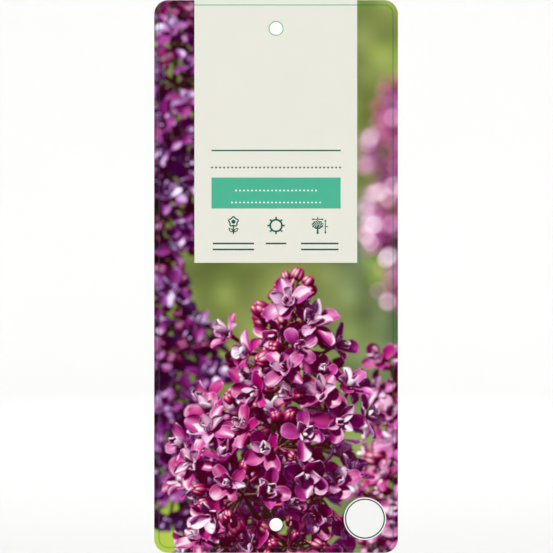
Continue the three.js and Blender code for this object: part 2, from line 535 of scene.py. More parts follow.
def shade(bag, ao, tri, dist, O, D, sun):
    """Linear light leaving each hit towards the viewer."""
    hit = tri >= 0
    idx = np.where(hit)[0]
    P = O[idx] + D[idx] * dist[idx][:, None]
    T = bag.T[tri[idx]]
    a, b, c = bag.P[T[:, 0]], bag.P[T[:, 1]], bag.P[T[:, 2]]
    v0, v1, v2 = b - a, c - a, P - a
    d00, d01, d11 = (v0 * v0).sum(1), (v0 * v1).sum(1), (v1 * v1).sum(1)
    d20, d21 = (v2 * v0).sum(1), (v2 * v1).sum(1)
    den = np.maximum(d00 * d11 - d01 * d01, 1e-12)
    w1 = np.clip((d11 * d20 - d01 * d21) / den, 0, 1)
    w2 = np.clip((d00 * d21 - d01 * d20) / den, 0, 1 - w1)
    w = np.stack([1 - w1 - w2, w1, w2], 1)
    N = unit((bag.N[T] * w[..., None]).sum(1))
    A = (bag.A[T] * w[..., None]).sum(1)
    A[:, 2] = bag.A[T[:, 0], 2]
    AO = (ao[T] * w).sum(1)
    front = (N * D[idx]).sum(1) < 0
    n = np.where(front[:, None], N, -N)
    col, kind = petal_colour(A, front, P)
    fn = np.cross(v0, v1)
    size2 = np.maximum((fn * fn).sum(1), 1e-12)[:, None]
    along = (
        (bag.A[T[:, 1], :2] - bag.A[T[:, 0], :2])[:, :, None] * np.cross(fn, -v1)[:, None]
        + (bag.A[T[:, 2], :2] - bag.A[T[:, 0], :2])[:, :, None] * np.cross(fn, v0)[:, None]
    ) / size2[:, :, None]
    uu, vv, seed = A[:, 0], A[:, 1], A[:, 4] * 40 + A[:, 3] * 23
    fade = smooth(0.05, 0.3, uu)
    fan = 13.0 * vv * (1.25 - 0.35 * uu) + 0.6 * np.sin(5 * uu + seed)
    hv = (0.11 * np.cos(fan) + 0.14 * np.cos(4.1 * vv + seed)) * fade
    hu = (0.13 * np.cos(6.5 * uu + 2.2 * vv + seed) + 0.05 * np.cos(17 * uu + 5 * np.sin(3 * vv + seed))) * fade
    push = along[:, 0] * hu[:, None] + along[:, 1] * hv[:, None]
    n = np.where((kind == 0)[:, None], unit(n - push * np.where(front, 1.0, -1.0)[:, None]), n)
    ndl = (n * SUN).sum(1)
    petal = kind == 0
    start = P + n * (np.where(ndl > 0, 1, -1) * np.where(petal, 0.24, 0.10))[:, None] + SUN * 0.12
    lit = (~blocked(bag, start, np.broadcast_to(sun, start.shape), 90.0)).astype(float)
    diff = np.clip(ndl, 0, 1) * lit
    trans = np.clip(-ndl, 0, 1) * lit * np.where(petal, 0.80, np.where(kind == 3, 0.75, 0.0))
    sky = 0.42 * (0.66 + 0.34 * n[:, 2]) * AO**1.25
    skyc = np.array([0.92, 0.98, 1.14])
    sunc = np.array([1.80, 1.72, 1.60])
    shadec = np.where(petal[:, None], np.array([1.12, 0.58, 1.22]), skyc)  # sky light between petals turns pink
    light = diff[:, None] * sunc + sky[:, None] * shadec
    out = col * light
    through = col**1.35 * np.array([1.25, 0.80, 1.05])
    out = out + through * trans[:, None] * sunc
    bounce = np.where(kind[:, None] == 3, np.array([0.05, 0.07, 0.01]), np.array([0.088, 0.004, 0.020]))
    out = out + bounce * (1 - AO)[:, None] * (0.25 + 0.75 * col / np.maximum(col.max(1, keepdims=True), 1e-3))* 0.55
    view = -D[idx]
    half = unit(view + SUN)
    nh = np.clip((n * half).sum(1), 0, 1)
    rough = np.where(petal, 9.0, np.where(kind == 1, 13.0, 9.0))
    amount = np.where(petal, 0.10 + 0.46 * np.clip(A[:, 3], 0, 1), np.where(kind == 1, 0.30, 0.05))
    graze = 0.04 + 0.96 * (1 - np.clip((n * view).sum(1), 0, 1)) ** 5
    spec = (nh**rough) * amount * (rough + 8) / 22 * lit
    glint = nh**38 * np.where(petal, 0.20 + 1.0 * np.clip(A[:, 3], 0, 1), np.where(kind == 1, 0.22, 0.0)) * lit
    out = out + (spec + glint)[:, None] * sunc
    out = out + (graze * 0.06 * AO * np.clip(0.4 + 0.6 * n[:, 2], 0, 1))[:, None] * skyc * np.where(kind == 2, 0.3, 1.0)[:, None]
    full = np.zeros((len(tri), 3))
    full[idx] = out
    return full, hit


def film(bag, ao, x, z, rng, spp, aperture, focus, y0):
    """Colour and cover of a picture on the grid x by z, seen along +Y through a lens."""
    X, Z = np.meshgrid(x, z)
    dx, dz = x[1] - x[0], z[1] - z[0]
    total = np.zeros(X.shape + (3,))
    cover = np.zeros(X.shape)
    sx, sz = unit(np.cross(SUN, [0.0, 0.0, 1.0])), None
    sz = np.cross(sx, SUN)
    for s in range(spp):
        # one place in the cell, on the lens and on the sun's disc for each pass
        jx = X + dx * ((0.5 + (s + 1) * 0.7548777) % 1 - 0.5)
        jz = Z + dz * ((0.5 + (s + 1) * 0.5698403) % 1 - 0.5)
        ang, rad = s * 2.39996, math.sqrt((s + 0.5) / spp)
        sun = unit(SUN + 0.085 * rad * (sx * math.cos(ang) + sz * math.sin(ang)))
        ang, rad = ang * 1.7 + 0.8, aperture * math.sqrt(((s * 5) % spp + 0.5) / spp)
        lu, lv = np.full(X.shape, rad * math.cos(ang)), np.full(X.shape, rad * math.sin(ang))
        D = unit(np.stack([lu, np.ones_like(lu), lv], -1).reshape(-1, 3))
        O = np.stack([jx + lu * (y0 - focus), np.full(X.shape, y0), jz + lv * (y0 - focus)], -1).reshape(-1, 3)
        tri, dist = gather(bag, O, D, 400.0)
        c, h = shade(bag, ao, tri, dist, O, D, sun)
        total += c.reshape(total.shape)
        cover += h.reshape(cover.shape)
    return total / spp, cover / spp


def disc(img, radius):
    """Spreads a picture by a round lens opening. radius is in cells."""
    if radius < 0.6:
        return img
    m = int(math.ceil(radius)) + 1
    yy, xx = np.mgrid[-m : m + 1, -m : m + 1]
    k = np.clip(radius + 0.5 - np.hypot(xx, yy), 0, 1)
    k *= 0.85 + 0.3 * smooth(0.5 * radius, radius, np.hypot(xx, yy))
    k /= k.sum()
    pad = np.pad(img, ((m, m), (m, m), (0, 0)), mode="edge")
    shape = (pad.shape[0] + 2 * m, pad.shape[1] + 2 * m)
    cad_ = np.fft.rfft2(k, shape)
    out = np.empty_like(img)
    for i in range(img.shape[2]):
        full = np.fft.irfft2(np.fft.rfft2(pad[..., i], shape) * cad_, shape)
        out[..., i] = full[2 * m : 2 * m + img.shape[0], 2 * m : 2 * m + img.shape[1]]
    return out


def resize(img, x, z, nx, nz):
    """Bilinear reading of a picture on grid x by z at grid nx by nz."""
    fx = np.clip((nx - x[0]) / (x[1] - x[0]), 0, len(x) - 1.001)
    fz = np.clip((nz - z[0]) / (z[1] - z[0]), 0, len(z) - 1.001)
    ix, iz = fx.astype(int), fz.astype(int)
    tx, tz = (fx - ix)[None, :, None], (fz - iz)[:, None, None]
    a = img[iz][:, ix] * (1 - tx) + img[iz][:, ix + 1] * tx
    b = img[iz + 1][:, ix] * (1 - tx) + img[iz + 1][:, ix + 1] * tx
    return a * (1 - tz) + b * tz


def noise2(rng, shape, cells):
    g = rng.normal(size=(cells[0] + 3, cells[1] + 3, 1))
    z = np.linspace(0, cells[0] + 1.9, shape[0])
    x = np.linspace(0, cells[1] + 1.9, shape[1])
    iz, ix = z.astype(int), x.astype(int)
    tz, tx = z - iz, x - ix
    tz, tx = (tz * tz * (3 - 2 * tz))[:, None], (tx * tx * (3 - 2 * tx))[None, :]
    q = g[..., 0]
    return (q[iz][:, ix] * (1 - tz) * (1 - tx) + q[iz][:, ix + 1] * (1 - tz) * tx + q[iz + 1][:, ix] * tz * (1 - tx) + q[iz + 1][:, ix + 1] * tz * tx)


def backdrop(rng, x, z):
    """Far garden greens, out of focus, in linear light."""
    X, Z = np.meshgrid(x, z)
    shape = X.shape
    n1 = noise2(rng, shape, (9, 4))
    n2 = noise2(rng, shape, (18, 8))
    n3 = noise2(rng, shape, (5, 3))
    n4 = noise2(rng, shape, (26, 12))
    olive = np.array([0.232, 0.270, 0.092])
    dark = np.array([0.085, 0.125, 0.034])
    grey = np.array([0.190, 0.25, 0.145])
    lime = np.array([0.28, 0.37, 0.066])
    mix = lambda a, b, t: a + (b - a) * np.clip(t, 0, 1)[..., None]
    c = np.broadcast_to(olive, shape + (3,)).copy()
    c = mix(c, dark, 0.30 + 0.34 * n1)
    c = mix(c, grey, (0.30 * n3 + 0.15 * n2 + 0.22) * smooth(-10, 40, X) * smooth(-40, -110, Z))
    c = mix(c, lime, 0.30 * n2 - 0.10 + 0.65 * smooth(-150, -200, Z) * smooth(20, -40, X))
    return c * (1.0 + 0.10 * n2 + 0.22 * n4)[..., None]


def tone(c):
    """Film-like curve from linear light to a print's own colour, sRGB coded."""
    c = 1.24 * np.maximum(c, 0) ** 1.07
    c = 1 - np.exp(-c * (1 + 0.35 * c))
    grey = c.mean(-1, keepdims=True)
    c = np.clip(grey + (c - grey) * 1.10, 0, 1)
    s = np.where(c <= 0.0031308, c * 12.92, 1.055 * np.power(np.maximum(c, 1e-9), 1 / 2.4) - 0.055)
    return np.clip(s, 0, 1)


def paint(step, spp, log=print):
    """The whole picture in linear light on a grid of cells, with what it took."""
    t0 = time.time()
    x = np.arange(-47.2 + step / 2, 47.2, step)
    z = np.arange(-203 + step / 2, 11, step)
    rng = np.random.default_rng(20260)
    far = disc(backdrop(rng, x, z), 3.2 / step)

    # far leaves and blossom, well out of focus
    b1 = Bag()
    rng = np.random.default_rng(11)
    for base, tip, w, tilt, fold, hue in (
        ((-58, 90, -222), (-37, 80, -182), 30, (-0.3, -0.8, 0.5), 0.25, 0.15),
        ((-20, 95, -222), (-40, 85, -192), 26, (0.2, -0.8, 0.6), 0.2, 0.5),
        ((-8, 100, -222), (2, 90, -196), 26, (0.1, -0.9, 0.4), 0.2, 0.0),
        ((55, 100, -70), (36, 90, -98), 26, (-0.2, -0.9, 0.3), 0.2, -0.3),
    ):
        leaf(b1, base, tip, w, tilt, fold, hue)
    truss(b1, rng, (64, 95, -112), (48, 88, -22), 2, 17, 5, 0.1, 0.35, False)
    b1.close()
    step1 = max(step, 0.55)
    x1, z1 = np.arange(-56, 56, step1), np.arange(-212, 20, step1)
    ao1 = np.full(len(b1.P), 0.7)
    c, a = film(b1, ao1, x1, z1, rng, 1, 0.0, 0, -200)
    c = c * np.where(c[..., 1:2] > c[..., 2:3], 0.92, 0.72 + 1.5 * c[..., 1:2])  # sunlit blossom glows, leaves don't
    l1 = disc(np.concatenate([c, a[..., None]], -1), 3.4 / step1)
    l1 = resize(l1, x1, z1, x, z)
    log("far", round(time.time() - t0, 1), b1.T.shape)

    # the blurred trusses beside and behind the sharp one
    b2 = Bag()
    rng = np.random.default_rng(22)
    truss(b2, rng, (-50, 62, -96), (-38, 55, 22), -3, 21, 6, 0.10, 0.08, False)
    truss(b2, rng, (-33, 62, -206), (-42, 52, -84), 4, 25, 6, 0.10, 0.35, False)
    b2.close()
    step2 = max(step, 0.36)
    x2, z2 = np.arange(-52, 52, step2), np.arange(-208, 16, step2)
    rng = np.random.default_rng(23)
    ao2 = vertex_shade(b2, rng, 5, 14.0)
    c, a = film(b2, ao2, x2, z2, rng, 1, 0.0, 0, -200)
    c = c * np.array([0.51, 0.54, 0.73])
    l2 = disc(np.concatenate([c, a[..., None]], -1), 0.90 / step2)
    l2 = resize(l2, x2, z2, x, z)
    log("middle", round(time.time() - t0, 1), b2.T.shape)

    # softer ones just behind
    b4 = Bag()
    rng = np.random.default_rng(44)
    truss(b4, rng, (54, 38, -240), (42, 34, -124), -4, 20, 6, 0.16, 0.35, False)
    truss(b4, rng, (-27, 34, -268), (-23, 30, -190), 3, 14, 4, 0.3, 0.10, False)
    b4.close()
    step4 = max(step, 0.25)
    x4, z4 = np.arange(-50, 50, step4), np.arange(-206, -90, step4)
    ao4 = vertex_shade(b4, rng, 5, 14.0)
    c, a = film(b4, ao4, x4, z4, rng, 1, 0.0, 0, -200)
    l4 = disc(np.concatenate([c, a[..., None]], -1), 0.62 / step4)
    low = z < -92
    l4 = resize(l4, x4, z4, x, z[low])
    log("behind", round(time.time() - t0, 1), b4.T.shape)

    # the sharp truss
    b3 = Bag()
    rng = np.random.default_rng(34)
    made = truss(b3, rng, (-4, 0, -250), (10, 0, -97), 6, 35, 8, 0.20, 0.05, True, 1.2, 2.0, 10.2, taper=3.0, gaps=((4, 1), (5, 0)), foot=0.5, turn=0.014)
    b3.close()
    rng = np.random.default_rng(35)
    ao3 = vertex_shade(b3, rng, 8, 14.0)
    log("sharp built", round(time.time() - t0, 1), b3.T.shape, made)
    low3 = z < -80
    c, a = film(b3, ao3, x, z[low3], rng, spp, 0.010, -30, -200)
    log("sharp cast", round(time.time() - t0, 1))
    out = far
    for layer, where in ((l1, slice(None)), (l2, slice(None)), (l4, low), (np.concatenate([c, a[..., None]], -1), low3)):
        cov = np.clip(layer[..., 3:4], 0, 1)
        out[where] = out[where] * (1 - cov) + layer[..., :3]
    log("done", round(time.time() - t0, 1))
    return x, z, out


# ---------------------------------------------------------------- sizes (mm, in the row frame)

HALF = 47.2
TOP = 11.0
BOTTOM = -203.0
CORNER = 5.5
HOLE = 2.5
HOLES = (0.0, -192.0)
BACK_Y = 0.25
CARD_Y = -0.200  # the card's own front; the print lies on it
PRINT_Y = -0.214
BAND_Y = -0.228
INK_Y = -0.240
EDGE = 0.05  # the print stops this far inside every edge of the card
PANEL = (-31.6, 31.4, -90.7, TOP)
BAND = (-25.0, 25.0, -69.7, -57.7)
LINE = (-45.28, 45.28, -200.90, 9.08)  # the printed border line's middle
LINE_CORNER = 3.6
LINE_WIDE = 0.44
RING_WIDE = 0.36


def to_linear(c):
    c = np.asarray(c, float)
    return np.where(c <= 0.04045, c / 12.92, ((c + 0.055) / 1.055) ** 2.4)


def srgb(r, g, b):
    """An 8 bit colour as the linear reflectance that shows it in this light."""
    return to_linear(np.array([r, g, b]) / 255.0) / LIGHT_LEVEL


LIGHT_LEVEL = 1.07  # what a white surface would show as in the studio light


# ---------------------------------------------------------------- materials


def node(nt, kind, **values):
    n = nt.nodes.new(kind)
    for k, v in values.items():
        setattr(n, k, v)
    return n


def printed(name, colour=None, spread=0.03, roughness=(0.40, 0.50), specular=0.12, bump=0.04, fine=2600.0, attribute=None):
    """A satin printed or plain plastic surface: ink mottle, a fine film texture and uneven gloss."""
    mat = bpy.data.materials.new(name)
    mat.use_nodes = True
    nt = mat.node_tree
    nt.nodes.clear()
    out = node(nt, "ShaderNodeOutputMaterial")
    bsdf = node(nt, "ShaderNodeBsdfPrincipled")
    nt.links.new(bsdf.outputs["BSDF"], out.inputs["Surface"])
    where = node(nt, "ShaderNodeTexCoord")
    broad = node(nt, "ShaderNodeTexNoise", noise_dimensions="3D")
    broad.inputs["Scale"].default_value = 42.0
    broad.inputs["Detail"].default_value = 4.0
    nt.links.new(where.outputs["Object"], broad.inputs["Vector"])
    grain = node(nt, "ShaderNodeTexNoise", noise_dimensions="3D")
    grain.inputs["Scale"].default_value = fine
    grain.inputs["Detail"].default_value = 2.0
    nt.links.new(where.outputs["Object"], grain.inputs["Vector"])
    both = node(nt, "ShaderNodeMath", operation="MULTIPLY_ADD")
    both.inputs[1].default_value = 0.35
    nt.links.new(grain.outputs["Fac"], both.inputs[0])
    part = node(nt, "ShaderNodeMath", operation="MULTIPLY")
    part.inputs[1].default_value = 0.65
    nt.links.new(broad.outputs["Fac"], part.inputs[0])
    nt.links.new(part.outputs[0], both.inputs[2])
    level = node(nt, "ShaderNodeMapRange")
    level.inputs["From Min"].default_value = 0.30
    level.inputs["From Max"].default_value = 0.70
    level.inputs["To Min"].default_value = 1.0 - spread
    level.inputs["To Max"].default_value = 1.0 + spread
    nt.links.new(both.outputs[0], level.inputs["Value"])
    if attribute:
        ink = node(nt, "ShaderNodeAttribute", attribute_name=attribute)
        scale = node(nt, "ShaderNodeVectorMath", operation="SCALE")
        nt.links.new(ink.outputs["Color"], scale.inputs[0])
        nt.links.new(level.outputs["Result"], scale.inputs["Scale"])
        nt.links.new(scale.outputs["Vector"], bsdf.inputs["Base Color"])
    else:
        ramp = node(nt, "ShaderNodeValToRGB")
        c = np.array(colour)
        ramp.color_ramp.elements[0].position = 0.30
        ramp.color_ramp.elements[0].color = (*np.clip(c * (1 - spread), 0, 1), 1)
        ramp.color_ramp.elements[1].position = 0.70
        ramp.color_ramp.elements[1].color = (*np.clip(c * (1 + spread), 0, 1), 1)
        nt.links.new(both.outputs[0], ramp.inputs["Fac"])
        nt.links.new(ramp.outputs["Color"], bsdf.inputs["Base Color"])
    gloss = node(nt, "ShaderNodeMapRange")
    gloss.inputs["From Min"].default_value = 0.30
    gloss.inputs["From Max"].default_value = 0.70
    gloss.inputs["To Min"].default_value = roughness[0]
    gloss.inputs["To Max"].default_value = roughness[1]
    nt.links.new(broad.outputs["Fac"], gloss.inputs["Value"])
    nt.links.new(gloss.outputs["Result"], bsdf.inputs["Roughness"])
    relief = node(nt, "ShaderNodeBump")
    relief.inputs["Strength"].default_value = bump
    relief.inputs["Distance"].default_value = 0.00002
    nt.links.new(grain.outputs["Fac"], relief.inputs["Height"])
    nt.links.new(relief.outputs["Normal"], bsdf.inputs["Normal"])
    bsdf.inputs["Specular IOR Level"].default_value = specular
    return mat


# ---------------------------------------------------------------- flat shapes


class Flat:
    """Flat faces in the plane y = level, seen from -Y, in mm."""

    def __init__(self, level):
        self.level, self.v, self.f = level, [], []

    def add(self, points, faces):
        base = sum(len(p) for p in self.v)
        self.v.append(np.asarray(points, float).reshape(-1, 2))
        self.f += [tuple(base + i for i in face) for face in faces]
        return self

    def fill(self, *loops):
        """The first loop is the outline and the others are holes in it."""
        points = np.concatenate([np.asarray(l, float) for l in loops])
        tris = tessellate_polygon([[Vector((p[0], p[1], 0)) for p in l] for l in loops])
        faces = []
        for t in tris:
            a, b, c = (points[i] for i in t)
            turn = (b[0] - a[0]) * (c[1] - a[1]) - (b[1] - a[1]) * (c[0] - a[0])
            if abs(turn) > 1e-7:
                faces.append(t if turn > 0 else (t[0], t[2], t[1]))
        return self.add(points, faces)

    def stroke(self, points, width, closed=False, round_ends=True):
        """A line of even width through the points."""
        p = np.asarray(points, float)
        if closed:
            before, after = np.roll(p, 1, 0), np.roll(p, -1, 0)
        else:
            before, after = np.vstack([2 * p[0] - p[1], p[:-1]]), np.vstack([p[1:], 2 * p[-1] - p[-2]])
        d1, d2 = unit(p - before), unit(after - p)
        n1, n2 = np.stack([-d1[:, 1], d1[:, 0]], 1), np.stack([-d2[:, 1], d2[:, 0]], 1)
        n = unit(n1 + n2)
        n = n / np.clip((n * n1).sum(1, keepdims=True), 0.5, 1)
        k = len(p)
        pts = np.concatenate([p + n * width / 2, p - n * width / 2])
        faces = []
        for i in range(k if closed else k - 1):
            j = (i + 1) % k
            faces.append((i, k + i, k + j, j))
        self.add(pts, faces)
        if round_ends and not closed:
            for end, way in ((p[0], -d2[0]), (p[-1], d1[-1])):
                a0 = math.atan2(way[1], way[0])
                arc = [(end[0] + width / 2 * math.cos(a0 + t), end[1] + width / 2 * math.sin(a0 + t)) for t in np.linspace(-math.pi / 2, math.pi / 2, 9)]
                self.fill(arc)
        return self

    def ring(self, cx, cz, inner, outer, n=96):
        a = np.linspace(0, 2 * np.pi, n, endpoint=False)
        circle = np.stack([np.cos(a), np.sin(a)], 1)
        pts = np.concatenate([circle * inner, circle * outer]) + [cx, cz]
        return self.add(pts, [(i, n + i, n + (i + 1) % n, (i + 1) % n) for i in range(n)])

    def dot(self, cx, cz, r, n=20):
        a = np.linspace(0, 2 * np.pi, n, endpoint=False)
        return self.fill(np.stack([cx + r * np.cos(a), cz + r * np.sin(a)], 1))

    def make(self, name, mat, slot):
        v = np.concatenate(self.v)
        me = bpy.data.meshes.new(name)
        me.from_pydata([(p[0] * 0.001, self.level * 0.001, p[1] * 0.001) for p in v], [], self.f)
        return place(name, me, mat)


def place(name, me, mat):
    me.update()
    me.materials.append(mat)
    o = bpy.data.objects.new(name, me)
    bpy.context.scene.collection.objects.link(o)
    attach(o, "root")
    return o


def circle(cx, cz, r, n=96):
    a = np.linspace(0, 2 * np.pi, n, endpoint=False)
    return np.stack([cx + r * np.cos(a), cz + r * np.sin(a)], 1)


def rounded(left, right, low, high, r, n=24):
    """Counter-clockwise outline of a rectangle with four round corners."""
    pts = []
    for cx, cz, a0 in ((right - r, low + r, -90), (right - r, high - r, 0), (left + r, high - r, 90), (left + r, low + r, 180)):
        for t in np.linspace(0, 90, n + 1):
            a = math.radians(a0 + t)
            pts.append((cx + r * math.cos(a), cz + r * math.sin(a)))
    return np.array(pts)


# ---------------------------------------------------------------- the card


def make_card():
    """The plastic sheet: both faces, the cut edge with its slight rounding, and both holes."""
    r = 0.045
    profile = []  # distance in from the edge, y
    for a in np.linspace(0, 90, 4):
        t = math.radians(a)
        profile.append((r - r * math.sin(t), CARD_Y + r - r * math.cos(t)))
    for a in np.linspace(0, 90, 4):
        t = math.radians(a)
        profile.append((r - r * math.cos(t), BACK_Y - r + r * math.sin(t)))
    verts, faces = [], []

    def wall(make, inward):
        """Rings of one edge from front to back."""
        first = len(verts)
        count = None
        for inset, y in profile:
            loop = make(inset)
            count = len(loop)
            verts.extend((p[0], y, p[1]) for p in loop)
        for k in range(len(profile) - 1):
            a, b = first + k * count, first + (k + 1) * count
            for i in range(count):
                j = (i + 1) % count
                quad = (a + i, b + i, b + j, a + j)
                faces.append(quad if inward else quad[::-1])
        return first, count

    outer = lambda d: rounded(-HALF + d, HALF - d, BOTTOM + d, TOP - d, CORNER - d)
    walls = [wall(outer, False)] + [wall(lambda d, z=z: circle(0, z, HOLE + d), True) for z in HOLES]
    for side in (0, len(profile) - 1):
        loops, index = [], []
        for first, count in walls:
            at = first + side * count
            index += list(range(at, at + count))
            loops.append([Vector((verts[i][0], verts[i][2], 0)) for i in range(at, at + count)])
        for t in tessellate_polygon(loops):
            a, b, c = (verts[index[i]] for i in t)
            turn = (b[0] - a[0]) * (c[2] - a[2]) - (b[2] - a[2]) * (c[0] - a[0])
            if abs(turn) < 1e-9:
                continue
            tri = [index[i] for i in t]
            if (turn > 0) != (side == 0):
                tri = tri[::-1]
            faces.append(tuple(tri))
    me = bpy.data.meshes.new("card_stock")
    me.from_pydata([(x * 0.001, y * 0.001, z * 0.001) for x, y, z in verts], [], faces)
    return me


# ---------------------------------------------------------------- the printed picture


def read(img, x0, z0, step, X, Z):
    """Bilinear reading of the print at any points."""
    fx = np.clip((X - x0) / step, 0, img.shape[1] - 1.001)
    fz = np.clip((Z - z0) / step, 0, img.shape[0] - 1.001)
    ix, iz = fx.astype(int), fz.astype(int)
    tx, tz = (fx - ix)[:, None], (fz - iz)[:, None]
    low = img[iz, ix] * (1 - tx) + img[iz, ix + 1] * tx
    high = img[iz + 1, ix] * (1 - tx) + img[iz + 1, ix + 1] * tx
    return low * (1 - tz) + high * tz


class Sheet:
    """One piece of the picture, made of patches that meet edge to edge."""

    def __init__(self, step):
        self.step, self.v, self.q, self.t, self.count = step, [], [], [], 0

    def put(self, p, quads=None, tris=None):
        self.v.append(p.reshape(-1, 2))
        if quads is not None:
            self.q.append(quads.reshape(-1, 4) + self.count)
        if tris is not None:
            self.t.append(tris.reshape(-1, 3) + self.count)
        self.count += self.v[-1].shape[0]

    def grid(self, x0, x1, z0, z1):
        nx = max(1, round((x1 - x0) / self.step))
        nz = max(1, round((z1 - z0) / self.step))
        X, Z = np.meshgrid(np.linspace(x0, x1, nx + 1), np.linspace(z0, z1, nz + 1))
        i = np.arange(nz)[:, None] * (nx + 1) + np.arange(nx)[None, :]
        self.put(np.stack([X, Z], -1), quads=np.stack([i, i + 1, i + nx + 2, i + nx + 1], -1))

    def corner(self, cx, cz, r, a0):
        """A quarter disc."""
        n = max(6, round(r / self.step))
        a = np.radians(a0 + np.linspace(0, 90, 2 * n + 1))
        rr = np.linspace(0, r, n + 1)[1:]
        ring = np.stack([cx + rr[:, None] * np.cos(a), cz + rr[:, None] * np.sin(a)], -1)
        m = len(a)
        p = np.concatenate([ring.reshape(-1, 2), [[cx, cz]]])
        i = np.arange(n - 1)[:, None] * m + np.arange(m - 1)[None, :]
        quads = np.stack([i, i + m, i + m + 1, i + 1], -1)
        j = np.arange(m - 1)
        tris = np.stack([np.full(m - 1, n * m), j, j + 1], -1)
        self.put(p, quads, tris)

    def around(self, cx, cz, r, half):
        """A square with a round hole in its middle."""
        n = 4 * max(12, round(2 * half / self.step))
        a = np.linspace(0, 2 * np.pi, n, endpoint=False) + np.pi / 4
        inner = np.stack([np.cos(a), np.sin(a)], -1)
        k = np.arange(n) / (n / 4)
        side, t = k.astype(int), k % 1
        corners = np.array([[1, 1], [-1, 1], [-1, -1], [1, -1], [1, 1]], float)
        outer = corners[side] * (1 - t[:, None]) + corners[side + 1] * t[:, None]
        m = max(8, round((half - r) / self.step))
        s = np.linspace(0, 1, m + 1)[:, None, None]
        p = (inner * r)[None] * (1 - s) + (outer * half)[None] * s + np.array([cx, cz])
        i = np.arange(m)[:, None] * n
        j = np.arange(n)[None, :]
        k = (j + 1) % n
        self.put(p, quads=np.stack([i + j, i + n + j, i + n + k, i + k], -1))

    def make(self, name, mat, colours, slot):
        v = np.concatenate(self.v)
        q = np.concatenate(self.q) if self.q else np.zeros((0, 4), int)
        t = np.concatenate(self.t) if self.t else np.zeros((0, 3), int)
        me = bpy.data.meshes.new(name)
        me.vertices.add(len(v))
        co = np.empty((len(v), 3), np.float32)
        co[:, 0], co[:, 1], co[:, 2] = v[:, 0] * 0.001, PRINT_Y * 0.001, v[:, 1] * 0.001
        me.vertices.foreach_set("co", co.ravel())
        loops = np.concatenate([q.ravel(), t.ravel()]).astype(np.int32)
        me.loops.add(len(loops))
        me.loops.foreach_set("vertex_index", loops)
        me.polygons.add(len(q) + len(t))
        start = np.concatenate([np.arange(len(q)) * 4, len(q) * 4 + np.arange(len(t)) * 3]).astype(np.int32)
        me.polygons.foreach_set("loop_start", start)
        me.update(calc_edges=True)
        me.validate()
        c = np.ones((len(v), 4), np.float32)
        c[:, :3] = colours(v[:, 0], v[:, 1])
        ink = me.color_attributes.new("print", "FLOAT_COLOR", "POINT")
        ink.data.foreach_set("color", c.ravel())
        uv = me.uv_layers.new(name="OFBake")
        low, high = v.min(0), v.max(0)
        place_ = (v - low) / (high - low) * 0.996 + 0.002
        uv.data.foreach_set("uv", place_[loops].astype(np.float32).ravel())
        return place(name, me, mat)


def overprint(X, Z, step):
    """How much of each point the border line and the lower ring cover."""
    left, right, low, high = LINE
    cx, cz = (left + right) / 2, (low + high) / 2
    qx = np.abs(X - cx) - ((right - left) / 2 - LINE_CORNER)
    qz = np.abs(Z - cz) - ((high - low) / 2 - LINE_CORNER)
    d = np.hypot(np.maximum(qx, 0), np.maximum(qz, 0)) + np.minimum(np.maximum(qx, qz), 0) - LINE_CORNER
    line = np.clip((LINE_WIDE / 2 - np.abs(d)) / step + 0.5, 0, 1)
    r = np.hypot(X, Z - HOLES[1])
    ring = np.clip((RING_WIDE / 2 - np.abs(r - HOLE - 0.02 - RING_WIDE / 2)) / step + 0.5, 0, 1)
    return np.maximum(line * 0.92, ring * 0.85)


def make_picture():
    step = 0.2
    x, z, light = paint(step, 7, log=lambda *a: print("print:", *a))
    img = tone(light)
    X, Z = np.meshgrid(x, z)
    cover = overprint(X, Z, step)[..., None]
    img = to_linear(img)
    img = img * (1 - cover) + (img * np.array([0.30, 0.62, 0.44]) + np.array([0.006, 0.040, 0.020])) * cover
    img = img / LIGHT_LEVEL
    mat = printed("lilac_picture_print", spread=0.012, roughness=(0.36, 0.46), specular=0.02, bump=0.03, attribute="print")
    colours = lambda px, pz: read(img, x[0], z[0], step, px, pz)
    e, r = EDGE, CORNER - EDGE
    left, right, low, high = -HALF + e, HALF - e, BOTTOM + e, TOP - e
    pl, pr, pz = PANEL[0], PANEL[1], PANEL[2]
    cell = step
    s = Sheet(cell)
    s.grid(left, pl, pz, high - r)
    s.grid(left + r, pl, high - r, high)
    s.corner(left + r, high - r, r, 90)
    s.make("picture_strip_left", mat, colours, "picture_print")
    s = Sheet(cell)
    s.grid(pr, right, pz, high - r)
    s.grid(pr, right - r, high - r, high)
    s.corner(right - r, high - r, r, 0)
    s.make("picture_strip_right", mat, colours, "picture_print")
    cut1, cut2 = pz - 37.4, pz - 74.8
    s = Sheet(cell)
    s.grid(left, right, cut1, pz)
    s.make("picture_lower_1", mat, colours, "picture_print")
    s = Sheet(cell)
    s.grid(left, right, cut2, cut1)
    s.make("picture_lower_2", mat, colours, "picture_print")
    s = Sheet(cell)
    hz = HOLES[1]
    half = hz - (low + r)
    s.grid(left, right, hz + half, cut2)
    s.grid(left, -half, hz - half, hz + half)
    s.grid(half, right, hz - half, hz + half)
    s.around(0, hz, HOLE + 0.02, half)
    s.grid(left + r, right - r, low, low + r)
    s.corner(left + r, low + r, r, 180)
    s.corner(right - r, low + r, r, 270)
    s.make("picture_lower_3", mat, colours, "picture_print")


# ---------------------------------------------------------------- panel, band, rules and pictograms


def rectangle(left, right, low, high):
    return np.array([(left, low), (right, low), (right, high), (left, high)], float)


def dotted(flat, count, z, step=1.548, r=0.36):
    """A dotted rule centred on the label's middle."""
    for i in range(count):
        flat.dot((i - (count - 1) / 2) * step, z, r, 16)


